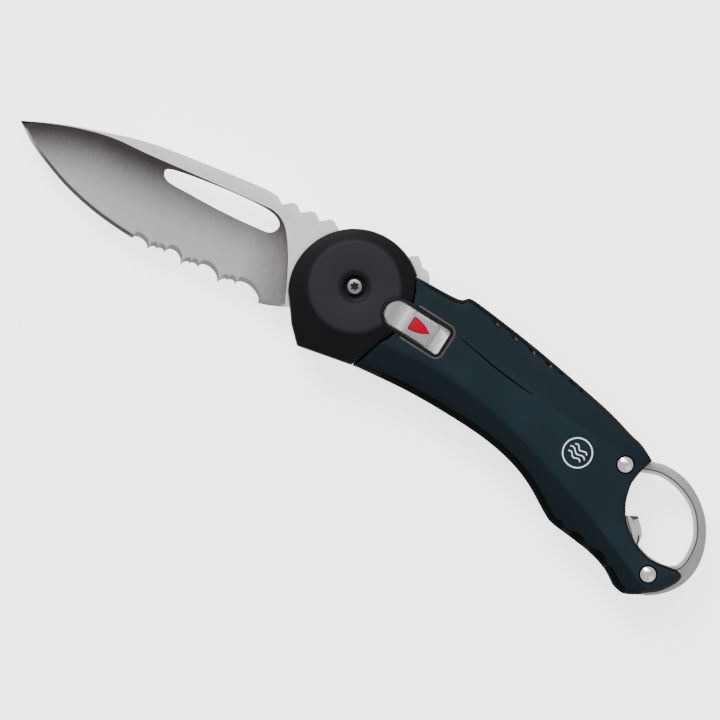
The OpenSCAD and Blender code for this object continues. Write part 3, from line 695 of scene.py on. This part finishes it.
teal = Finish("scale_teal", Specular_IOR_Level=0.12)
teal_grain = teal.noise(4.5, detail=4)
teal_cloud = teal.noise(0.09, detail=3)
teal_scuff = teal.noise(0.7, (1.0, 0.15, 1.0), 0.5, detail=5).between(0.62, 0.8)
teal_run, teal_rise = teal.along("X"), teal.along("Y")
lower_fold = ((teal_run * 3.875e-05 - 0.009853) * teal_run + 0.27933) * teal_run - 10.814
upper_fold = (teal_run * 0.0006756 - 0.2809) * teal_run + 5.7831
# Painted shade: the teal is painted darker above the upper fold, below the lower fold and more towards the
# lower rim.
under_fold = (lower_fold - teal_rise).between(-0.5, 0.9)
towards_rim = (lower_fold - teal_rise).between(2.0, 7.5)
over_fold = (teal_rise - upper_fold).between(-0.6, 1.6)
teal_face = teal.mix(teal_cloud.between(0.3, 0.7), (0.0025, 0.0090, 0.0130), (0.0040, 0.0128, 0.0175))
teal_painted_shade = teal.mix(over_fold * 0.8, teal_face, (0.0008, 0.0064, 0.0100))
teal_painted_shade = teal.mix(under_fold * 0.9, teal_painted_shade, (0.0004, 0.0042, 0.0068))
teal_painted_shade = teal.mix(towards_rim * 0.6, teal_painted_shade, (0.0005, 0.0022, 0.0034))
teal.use(Base_Color=teal.mix(teal_scuff * 0.2, teal_painted_shade, (0.0075, 0.0145, 0.0180)),
         Roughness=0.44 + teal_grain * 0.14 - teal_scuff * 0.05)
teal.bump(teal_grain, 0.35, 0.03)

# Near black painted on the chamfer and in the recesses as shade.
rim_painted_shade = Finish("rim_painted_shade", Specular_IOR_Level=0.03)
rim_grain = rim_painted_shade.noise(3.5, detail=4)
rim_painted_shade.use(Base_Color=rim_painted_shade.mix(rim_grain, (0.0004, 0.0006, 0.0009), (0.0012, 0.0017, 0.0022)),
              Roughness=0.5 + rim_grain * 0.2)
rim_painted_shade.bump(rim_grain, 0.3, 0.03)

# Grey for the moulded lip round the slot; the same grey is painted on the nicks' ledges as glints.
lip_grey_and_glint = Finish("moulded_lip_and_painted_glint", Specular_IOR_Level=0.2)
lip_grain = lip_grey_and_glint.noise(4.0, detail=3)
lip_grey_and_glint.use(Base_Color=lip_grey_and_glint.mix(lip_grain, (0.030, 0.031, 0.033), (0.055, 0.055, 0.057)),
             Roughness=0.4 + lip_grain * 0.2)
lip_grey_and_glint.bump(lip_grain, 0.3, 0.02)


def crease_groove():
    """The outline of a fine groove along the upper fold, pointed at both ends."""
    line = spline([(25.1, -0.7), (30.6, -2.3), (36.1, -3.9), (41.5, -5.1), (45.5, -5.8)], 6)
    halves = [0.19 * math.sin(math.pi * (i + 0.4) / len(line)) ** 0.6 for i in range(len(line))]
    return [p + Vector((0, w)) for p, w in zip(line, halves)] + [
        p - Vector((0, w)) for p, w in reversed(list(zip(line, halves)))]


def worked_scale(sink):
    """A scale with its rivet recesses, the grip nicks along its back, and the groove."""
    bm = scale_blank()
    # The rivet recesses, the nicks' pockets and the groove are painted near black as shade.
    for place in rivet_places:
        bm = cut(bm, painted(slab(arc(place, 2.05, 0, 352.5, 47), top_z - sink, top_z + 1), 1))
    turn, round_of_18 = Matrix.Rotation(math.radians(-24), 2), arc((0, 0), 1, 0, 340, 17)
    for nick in grip_nicks:
        pocket = [Vector(nick) + turn @ Vector((p.x * 1.35, p.y * 0.62)) for p in round_of_18]
        # The ledge in each nick is painted grey as a glint.
        glint_ledge = [Vector(nick) + turn @ Vector((0.85 + p.x * 0.42, p.y * 0.24 - 0.25))
                 for p in round_of_18]
        bm = cut(bm, painted(slab(pocket, top_z - 1.3, top_z + 1), 1))
        bm = cut(bm, painted(slab(glint_ledge, top_z - 1.35, top_z - 0.9), 2), "UNION")
    return cut(bm, painted(slab(crease_groove(), top_z - 0.35, top_z + 1), 1))


bm = worked_scale(1.6)
slot_cutter = slab(slot_shape(slot_front - wall - 0.1, slot_back + wall + 0.1, slot_w + 2 * wall + 0.2, 1.5),
                   seat_z - 1, top_z + 2)
cap_slot_cutter = slot_cutter.copy()
# The slot's walls are painted near black as shade.
bm = cut(bm, painted(slot_cutter, 1))
lip_in, lip_out = slot_w / 2 + wall + 0.12, slot_w / 2 + wall + 0.6
lip_from, lip_top, in_r, out_r = 14.2, top_z + 0.12, 1.5, 1.98
lip_turn = slot_back + wall + 0.12 - in_r
lip_ring = slab(along_slide(
    [(lip_from, lip_out)] + arc((lip_turn, lip_out - out_r), out_r, 90, 0, 6)
    + arc((lip_turn, out_r - lip_out), out_r, 0, -90, 6) + [(lip_from, -lip_out), (lip_from, -lip_in)]
    + arc((lip_turn, in_r - lip_in), in_r, -90, 0, 6) + arc((lip_turn, lip_in - in_r), in_r, 0, 90, 6)
    + [(lip_from, lip_in)]), top_z - 2.0, lip_top)
soften(lip_ring, (lip_top,), 0.14)
bm = cut(bm, painted(lip_ring, 2), "UNION")
scale_finishes = [teal, rim_painted_shade, lip_grey_and_glint]
finished("scale_front", bm, "handle", scale_finishes, ["front_scale"], 40)
bm = flipped(worked_scale(0.8))
finished("scale_rear", bm, "handle", scale_finishes, ["rear_scale"], 40)

# ---- Emblem ----
# A plain printed ring with three waves, in white ink, on the flat of the front scale. The ink
# is a film a fiftieth of a millimetre thick and has a slightly uneven cover.

emblem_place, emblem_turn, ink_z = Vector((59.3, -13.4)), math.radians(-22), top_z + 0.02
white_ink = Finish("white_ink", Base_Color=(0.78, 0.79, 0.80, 1))
ink_grain = white_ink.noise(6.0, detail=3)
white_ink.use(Base_Color=white_ink.mix(ink_grain, (0.66, 0.68, 0.69), (0.84, 0.85, 0.86)),
              Roughness=0.45 + ink_grain * 0.15)


def wave(middle, half_length, rise, weight):
    """One wave line as a closed outline."""
    steps = 36
    line = [Vector((half_length * (2 * i / steps - 1), middle + rise * math.sin(math.tau * 1.5 * i / steps)))
            for i in range(steps + 1)]
    return [p + Vector((0, weight)) for p in line] + [p - Vector((0, weight)) for p in reversed(line)]


def emblem_points(points):
    turn = Matrix.Rotation(emblem_turn, 2)
    return [emblem_place + turn @ Vector(p) for p in points]


bm = cut(slab(emblem_points(arc((0, 0), 3.4, 0, 354, 59)), top_z - 0.2, ink_z),
         slab(emblem_points(arc((0, 0), 3.12, 0, 354, 59)), top_z - 1, top_z + 1))
for middle, half_length in ((1.05, 1.8), (0.0, 2.2), (-1.05, 1.8)):
    outline = emblem_points(wave(middle, half_length, 0.3, 0.14))
    bm = cut(bm, slab(outline, top_z - 0.2, ink_z), "UNION")
finished("wave_emblem", bm, "handle", [white_ink])

# ---- Caps ----
# Black-coated round bosses over the pivot, with a flat dish in the middle painted lighter than
# the slope around it as painted light, and a sunk hole for the screw's or the barrel's head,
# whose chamfer is painted darker as shade.

cap_centre, cap_r = Vector((0.6, -1.7)), 14.5
cap_seam = seam_r - 0.1
slope_start, slope = 9.7, 2.4 / 12.3
cap_corner = [Vector(p) for p in ((9.2, -11.0), (6.3, -16.0), (-6.3, -17.0), (-9.4, -13.1), (-11.9, -8.6))]
rim_steps = ((2.4, 0.0), (1.2, 0.0), (0.55, 0.05), (0.25, 0.18), (0.08, 0.4), (0.0, 0.75))
first_outer, slope_lead, slope_drop = 30, 0.3, 0.11


def cap_reach(angle):
    """How far the cap's outline is from the pivot in one direction."""
    way = Vector((math.cos(angle), math.sin(angle)))
    degrees = math.degrees(angle) % 360
    if degrees > 360 + seam_from or degrees < seam_to:
        return cap_seam
    line = [cap_corner[0] + (cap_corner[0] - cap_corner[1])] + cap_corner
    line += [cap_centre + Vector((-13.54, -5.2))]
    if degrees > 207:
        for a, b in zip(line, line[1:]):
            met = intersect_line_line_2d((0, 0), way * 40, a, b)
            if met:
                return met.length
    across = way.dot(cap_centre)
    return across + math.sqrt(across * across - cap_centre.length_squared + cap_r * cap_r)


def cap_mesh(crown, hole_r, hole_z, lead):
    """A cap for the front: a turned blank whose outer rings are pushed out to the outline."""
    profile = [(0, hole_z), (hole_r, hole_z), (hole_r, crown - lead),
               (hole_r + lead * 0.8, crown - lead * 0.3), (hole_r + lead * 1.8, crown),
               (slope_start - 0.25, crown), (slope_start, crown - 0.03),
               (slope_start + slope_lead, crown - slope_drop)]
    profile += [(first_outer + i, 1 + i) for i in range(len(rim_steps))]
    profile += [(first_outer + len(rim_steps), seat_z), (0, seat_z)]
    bm = turned(profile, (0, 0), 288)
    for vertex in bm.verts:
        out = Vector(((vertex.co.x - pivot.x) / MM, (vertex.co.y - pivot.y) / MM))
        ring_number = round(out.length) - first_outer
        if ring_number < 0:
            continue
        inset, drop = rim_steps[min(ring_number, len(rim_steps) - 1)]
        reach = cap_reach(math.atan2(out.y, out.x)) - inset
        place = out.normalized() * reach
        z = crown - slope_drop - (reach - slope_start - slope_lead) * slope - drop
        vertex.co = spot(place.x, place.y, z if ring_number < len(rim_steps) else seat_z)
    return bm


cap_black = Finish("cap_black", Specular_IOR_Level=0.1)
cap_grain = cap_black.noise(5.0, detail=4)
from_middle = (cap_black.along("X") ** 2 + cap_black.along("Y") ** 2) ** 0.5
# The dish is painted lighter as painted light, and the chamfer round the hole darker as painted shade.
lit_dish = 1 - from_middle.between(slope_start - 0.2, slope_start + 1.0)
ring_shade = 1 - from_middle.between(3.3, 4.0)
cap_lit_dish_tone = cap_black.mix(lit_dish, (0.0020, 0.0018, 0.0028), (0.0150, 0.0138, 0.0170))
cap_black.use(Base_Color=cap_black.mix(ring_shade * 0.8, cap_lit_dish_tone, (0.003, 0.0025, 0.003)),
              Roughness=0.46 + cap_grain * 0.14)
cap_black.bump(cap_grain, 0.3, 0.02)

head_h = 1.2
screw_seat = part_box("pivot_screw")[1].z / MM - head_h
bm = cut(cap_mesh(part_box("front_cap")[1].z / MM, 2.5, screw_seat, 0.45), cap_slot_cutter)
finished("cap_front", bm, "handle", [cap_black], ["front_cap"])
bm = flipped(cap_mesh(top_z, 3.3, top_z - 1.1, 0.2))
finished("cap_rear", bm, "handle", [cap_black], ["rear_cap"])

# ---- Pivot screw ----
# A steel screw with a low crowned head and a six-lobe recess, sunk in the front cap. It threads
# into the barrel, and its recess is painted darker than its head as shade.


def lobes():
    """The outline of the recess for a six-lobe bit."""
    return [Vector((math.cos(a), math.sin(a))) * (0.84 + 0.17 * math.cos(6 * a))
            for a in (math.tau * i / 72 for i in range(72))]


screw_top, shank_low = screw_seat + head_h, 5.2
screw_steel = plain_metal("screw_steel", (0.15, 0.13, 0.135), (0.34, 0.31, 0.32), 0.3, 9.0)
bm = turned([(0, screw_top), (1.15, screw_top - 0.03), (1.55, screw_top - 0.14), (1.8, screw_top - 0.4),
             (1.8, screw_seat), (1.25, screw_seat), (1.25, shank_low), (0, shank_low)], (0, 0), 64)
recess_painted_shade = plain_metal("recess_painted_shade", (0.012, 0.010, 0.011), (0.05, 0.045, 0.047), 0.5, 6.0)
bm = cut(bm, painted(slab(lobes(), screw_top - 0.8, screw_top + 1), 1))
finished("pivot_screw_head", bm, "handle", [screw_steel, recess_painted_shade],
         ["pivot_screw"], 30)

# ---- Butt rivets ----
# Two bright domed rivets through scales, liners and ring plate. Their heads are turned and
# polished, and each sits in a sunk ring that is painted dark as shade.

rivet_steel = plain_metal("rivet_steel", (0.52, 0.51, 0.52), (0.70, 0.69, 0.70), 0.2, 7.0,
                          (1, 1, 1), 0.004)
dome_r, head_r, shank_r = 3.0, 1.7, 1.0
dome_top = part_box("butt_rivets")[1].z / MM
dome = [(dome_r * math.sin(a), dome_top - dome_r * (1 - math.cos(a)))
        for a in (math.asin(head_r / dome_r) * i / 8 for i in range(9))]
bm = bmesh.new()
for place in rivet_places:
    one = turned(dome + [(head_r, top_z - 1.5), (shank_r, top_z - 1.5), (shank_r, 0.7), (head_r, 0.7),
                         (head_r, 0.2), (head_r - 0.12, 0.1), (0, 0.1)], place, 48)
    part = bpy.data.meshes.new("rivet")
    one.to_mesh(part)
    one.free()
    bm.from_mesh(part)
    bpy.data.meshes.remove(part)
finished("domed_rivets", bm, "handle", [rivet_steel], ["butt_rivets"], 30)

# ---- Slide: guide, white plate, thumb button and its red mark ----
# A black moulded frame lines the slot, and a white plate lies under the button. The button
# is fine-blasted metal with a scoop for the thumb and a red enamelled mark let into it.

guide_black = Finish("guide_black", Specular_IOR_Level=0.1)
guide_grain = guide_black.noise(4.0, detail=3)
guide_black.use(Base_Color=guide_black.mix(guide_grain, (0.003, 0.003, 0.0035), (0.009, 0.009, 0.010)),
                Roughness=0.38 + guide_grain * 0.15)
guide_black.bump(guide_grain, 0.25, 0.02)
guide_low, guide_high = (corner.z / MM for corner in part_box("slot_guide"))
guide_outline = slot_shape(slot_front - wall, slot_back + wall, slot_w + 2 * wall, 1.4)
bm = cut(slab(guide_outline, guide_low, guide_high),
         slab(slot_shape(slot_front, slot_back, slot_w, 0.8), guide_low - 1, guide_high + 1))
soften(bm, (guide_high,), 0.16)
finished("slot_frame", bm, "handle", [guide_black], ["slot_guide"])

white_plate = Finish("white_plate", Coat_Weight=0.3)
plate_grain = white_plate.noise(2.0, (0.2, 1, 1), detail=3)
white_plate.use(Base_Color=white_plate.mix(plate_grain, (0.90, 0.90, 0.89), (0.99, 0.99, 0.98)),
                Roughness=0.3 + plate_grain * 0.15)
refinished(white_plate, "slide_plate")

button_low, button_high = (corner.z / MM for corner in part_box("lock_button"))
button_metal = plain_metal("button_metal", (0.25, 0.235, 0.25), (0.46, 0.435, 0.455), 0.34, 5.0,
                           (1, 1, 1), 0.02)
bm = slab(slot_shape(button_front, button_front + button_l, button_w, 1.1), button_low, button_high)
scoop_r, scoop_depth = 6, 1.3
scoop = bmesh.new()
bmesh.ops.create_cone(scoop, cap_ends=True, segments=96, radius1=scoop_r * MM, radius2=scoop_r * MM,
                      depth=9 * MM)
scoop_middle = along_slide([(button_front + 2.6, 0)])[0]
bmesh.ops.rotate(scoop, cent=(0, 0, 0), verts=scoop.verts,
                 matrix=Matrix.Rotation(math.atan2(slide_way.y, slide_way.x), 3, "Z")
                 @ Matrix.Rotation(math.pi / 2, 3, "X"))
bmesh.ops.translate(scoop, verts=scoop.verts,
                    vec=spot(scoop_middle.x, scoop_middle.y, button_high + scoop_r - scoop_depth))
soften(bm, (button_high,), 0.3, 3)
mark_from, mark_l, mark_half, mark_r = button_front + 6.3, 4.6, 1.45, 0.45


def mark_shape(grow):
    """The mark's outline: a flat front and two bulged sides that meet in a blunt point."""
    half, length = mark_half + grow, mark_l + 2 * grow
    side = [(mark_from - grow + length * t, half * (1 - t ** 2.2)) for t in (i / 14 for i in range(1, 14))]
    corner = [(mark_from - grow, half - mark_r), (mark_from - grow + 0.06, half - 0.18),
              (mark_from - grow + 0.22, half - 0.02)]
    upper = corner + side
    return along_slide(upper + [(mark_from + mark_l + grow, 0)] + [(x, -y) for x, y in reversed(upper)])


# The gap round the red mark is painted near black as shade.
bm = cut(cut(bm, scoop), painted(slab(mark_shape(0.12), button_high - 0.3, button_high + 1), 1))
finished("thumb_button", bm, "lock_slide", [button_metal, recess_painted_shade],
         ["lock_button"], 25)

red_enamel = Finish("red_enamel", Specular_IOR_Level=0.04)
enamel_cloud = red_enamel.noise(1.5, detail=3)
red_enamel.use(Base_Color=red_enamel.mix(enamel_cloud, (0.26, 0.0, 0.012), (0.34, 0.0, 0.016)),
               Roughness=0.25 + enamel_cloud * 0.15)
bm = slab(mark_shape(0), button_high - 0.3, button_high - 0.02)
soften(bm, (button_high - 0.02,), 0.1)
finished("red_mark", bm, "lock_slide", [red_enamel], ["button_inlay"])

# ---- Return spring ----
# A coil of bright round wire behind the slide, inside the handle.

spring_from, spring_l, spring_r, wire_r = 25.2, 8.6, 0.9, 0.18
coils, coil_steps = 8, 20
wire_steel = plain_metal("spring_wire", (0.40, 0.40, 0.41), (0.58, 0.58, 0.59), 0.25, 9.0)
spring_z = sum(corner.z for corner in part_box("lock_spring")) / 2 / MM
spring_start, spring_stop = (spot(p.x, p.y, spring_z) for p in along_slide(
    [(spring_from + wire_r, 0), (spring_from + spring_l, 0)]))
across = Vector((-slide_way.y, slide_way.x, 0))
bm = bmesh.new()
bmesh.ops.create_circle(bm, cap_ends=False, segments=10, radius=wire_r * MM,
                        matrix=Matrix.Translation(spring_start + Vector((0, 0, (spring_r - wire_r) * MM)))
                        @ across.to_track_quat("Z", "Y").to_matrix().to_4x4())
bmesh.ops.spin(bm, geom=bm.verts[:] + bm.edges[:], cent=spring_start, axis=slide_way,
               dvec=slide_way * (spring_l - 2 * wire_r) * MM / (coils * coil_steps), angle=math.tau * coils,
               steps=coils * coil_steps, use_merge=False, use_duplicate=False)
bmesh.ops.holes_fill(bm, edges=[e for e in bm.edges if e.is_boundary], sides=0)
spring = finished("return_spring", bm, "handle", [wire_steel], ["lock_spring"])
(spring_l - travel) / spring_l
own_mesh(spring)

# ---- Camera, floor and light ----
# Straight above the knife, turned so that the blade points to the upper left.
# A pale floor, one broad light overhead, a key from the upper left and a low fill.
camera_turn = math.radians(24)
view_width, camera_high, sensor = 0.1584, 1.1, 36
camera = bpy.data.objects.new("camera", bpy.data.cameras.new("camera"))
bpy.context.scene.collection.objects.link(camera)
bpy.context.scene.camera = camera
middle = spot(7.6, -14.2)
camera.location = (middle.x, middle.y, camera_high)
camera.rotation_euler = (0, 0, camera_turn)
camera.data.sensor_width = sensor
camera.data.lens = sensor * (camera_high - blade_mid * MM) / view_width
camera.data.clip_start = 0.01

bm = bmesh.new()
bmesh.ops.create_grid(bm, x_segments=1, y_segments=1, size=3)
bmesh.ops.translate(bm, vec=(0, 0, -0.02 * MM), verts=bm.verts)
floor_mesh = bpy.data.meshes.new("floor")
bm.to_mesh(floor_mesh)
bm.free()
floor = bpy.data.objects.new("floor", floor_mesh)
bpy.context.scene.collection.objects.link(floor)
paper = Finish("pale_paper", Base_Color=(0.92, 0.92, 0.92, 1), Roughness=0.9, Emission_Strength=2.1,
               Emission_Color=(1, 1, 1, 1))
floor_mesh.materials.append(paper.material)


def lamp(name, place, size, power):
    """A square soft light that faces the knife."""
    light = bpy.data.lights.new(name, "AREA")
    light.shape = "SQUARE"
    light.size = size
    light.energy = power
    thing = bpy.data.objects.new(name, light)
    bpy.context.scene.collection.objects.link(thing)
    thing.location = place
    thing.rotation_euler = (-Vector(place)).to_track_quat("-Z", "Y").to_euler()


lamp("overhead", (-0.15, 0.75, 1.3), 0.6, 5)
lamp("key", (-0.75, 0.75, 1.1), 0.55, 26)
lamp("fill", (0.9, -0.4, 0.9), 1.0, 2)
world = bpy.data.worlds.new("studio")
world.use_nodes = True
for socket, value in (("Color", (1, 1, 1, 1)), ("Strength", 0.95)):
    world.node_tree.nodes["Background"].inputs[socket].default_value = value
bpy.context.scene.world = world
